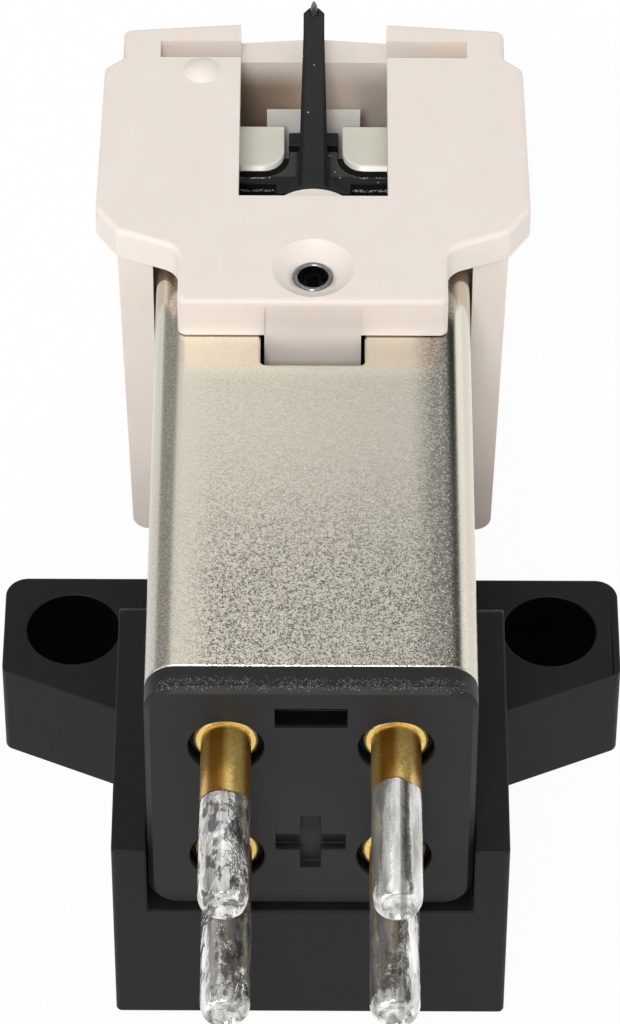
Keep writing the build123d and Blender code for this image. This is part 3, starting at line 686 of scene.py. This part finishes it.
shade_holes(dress(stand_in("mounting_base", 0.05), base_finish()))
dress(stand_in("terminal_plate", 0.03), plate_finish())
dress(stand_in("shield_can", 0.05), nickel_finish())
dress(stand_in("stylus_holder"), cream_finish())
sheet = sheet_finish()
# Painted shade: the lower poles take a dark copy of the strip metal.
shaded_sheet = plain_metal("pole_sheet_painted_shade", tone(44, 44, 44), tone(66, 66, 65), 0.5, 12)
for side in ("left", "right"):
    dress(stand_in("upper_pole_" + side, 0.03), sheet)
    dress(stand_in("lower_pole_" + side, 0.03), shaded_sheet)
dress(stand_in("cantilever", 0.03), cantilever_finish())
lock_metal = plain_metal("lock_pin_metal", tone(118, 118, 116), tone(166, 166, 163), 0.24, 10)
dress(stand_in("lock_pin", 0.04), lock_metal)
dress(place(skin("stylus_tip_finish", tip_points()), "stylus_tip"), diamond_finish())
build_pins()
rubber = moulding("damper_rubber", tone(20, 20, 21), tone(32, 32, 33), 0.7, 16, 0.012)[0]
dress(place(skin("damper_finish", ring_points("damper", 0.38, 0.06)), "damper"), rubber)

# CAD meshes that stay, with a finish each

copper = winding_finish()
bobbin = moulding("bobbin_moulding", tone(60, 56, 50), tone(80, 75, 68), 0.5, 10, 0.01)[0]
magnet = plain_metal("magnet_black", tone(40, 40, 42), tone(74, 74, 76), 0.45, 9)
kept = {
    "core_carrier": moulding("carrier_moulding", tone(28, 28, 29), tone(42, 42, 43), 0.5, 12, 0.01)[0],
    "bobbin_left": bobbin,
    "bobbin_right": bobbin,
    "coil_left": copper,
    "coil_right": copper,
    "coil_leads": plain_metal("lead_copper", tone(150, 80, 48), tone(205, 128, 84), 0.3, 12),
    "anchor_sleeve": plain_metal("sleeve_metal", tone(46, 46, 48), tone(70, 70, 72), 0.35, 10),
    "tie_wire": plain_metal("wire_steel", tone(110, 110, 110), tone(170, 170, 170), 0.3, 12),
    "magnet_left": magnet,
    "magnet_right": magnet,
}
for node, material in kept.items():
    dress(frame["nodes"][node], material)


# Floor, light and camera

def floor():
    """White floor, plain white to the camera and to reflections, with a faint shadow under the object."""
    half, glow_share = 3.0, 0.95
    mesh = bpy.data.meshes.new("floor")
    corners = np.array([(-1, -1, 0), (1, -1, 0), (1, 1, 0), (-1, 1, 0)], float) * half
    mesh.from_pydata(corners.tolist(), [], [(0, 1, 2, 3)])
    piece = link(mesh, "floor")
    made = bpy.data.materials.new("floor_white")
    made.use_nodes = True
    tree = made.node_tree
    shader = tree.nodes["Principled BSDF"]
    shader.inputs["Base Color"].default_value = (0.9, 0.9, 0.9, 1)
    shader.inputs["Roughness"].default_value = 1.0
    shader.inputs["Specular IOR Level"].default_value = 0.0
    glow = add(tree, "ShaderNodeEmission", {"Color": (1, 1, 1, 1), "Strength": 1.0})
    path = tree.nodes.new("ShaderNodeLightPath").outputs
    seen = most(tree, path["Is Camera Ray"], path["Is Glossy Ray"], path["Is Transmission Ray"])
    inputs = {0: times(tree, seen, glow_share), 1: shader.outputs[0], 2: glow.outputs[0]}
    mix = add(tree, "ShaderNodeMixShader", inputs)
    tree.links.new(mix.outputs[0], tree.nodes["Material Output"].inputs["Surface"])
    piece.data.materials.append(made)


def studio():
    """Soft room: bright overhead and near the horizon on the right, softly lit behind the camera; ahead, a
    dark band that is darkest on the right. The camera itself sees white."""
    world = bpy.data.worlds.new("studio")
    scene.world = world
    world.use_nodes = True
    tree = world.node_tree
    way = tree.nodes.new("ShaderNodeTexCoord").outputs["Generated"]
    x, y, z = add(tree, "ShaderNodeSeparateXYZ", {0: way}).outputs
    overhead = step(tree, z, 0.6, 0.72, 0.0, 0.92)
    horizon = times(tree, step(tree, z, 0.44, 0.34), step(tree, x, -0.5, 0.5, 0.3, 1.25))
    band = step(tree, x, -0.5, 0.2, 0.4, 0.05)
    behind = step(tree, y, 0.1, -0.5, 0.0, 0.45)
    level = times(tree, most(tree, overhead, horizon, band, behind), step(tree, x, -1.0, 1.0, 1.1, 0.9))
    seen = tree.nodes.new("ShaderNodeLightPath").outputs["Is Camera Ray"]
    background = tree.nodes["Background"].inputs
    background["Strength"].default_value = 1.0
    tree.links.new(most(tree, level, seen), background["Color"])


def lamp(name, spot, power, size):
    """Square soft lamp aimed at the middle of the object."""
    middle = (0, 0, 0.008)
    data = bpy.data.lights.new(name, "AREA")
    data.energy = power
    data.size = size
    piece = bpy.data.objects.new(name, data)
    scene.collection.objects.link(piece)
    aim = np.array(middle) - np.array(spot)
    tilt = math.atan2(aim[2], math.hypot(aim[0], aim[1]))
    heading = math.atan2(aim[1], aim[0])
    piece.location = spot
    piece.rotation_euler = (math.pi / 2 + tilt, 0, heading - math.pi / 2)


def camera():
    """Long lens 47 degrees above the horizon, on the centre plane behind the pins."""
    sensor, picture_height, focal_length, aside = 36.0, 1024, 5700, -2.5
    data = bpy.data.cameras.new("photo_view")
    data.sensor_width = sensor
    data.lens = sensor * focal_length / picture_height
    data.shift_x = aside / picture_height
    data.clip_start = 0.01
    data.clip_end = 20.0
    piece = bpy.data.objects.new("photo_view", data)
    scene.collection.objects.link(piece)
    piece.rotation_mode = "ZXY"
    piece.location = (0.0133 * MM, -101.3585 * MM, 116.4654 * MM)
    piece.rotation_euler = (math.radians(43), 0.0, 0.004)
    scene.camera = piece


floor()
studio()
lamp("key_left", (-0.22, -0.24, 0.1), 0.19, 0.2)
lamp("fill_rear", (-0.04, -0.26, 0.28), 0.6, 0.08)
camera()
scene.view_settings.view_transform = "Standard"
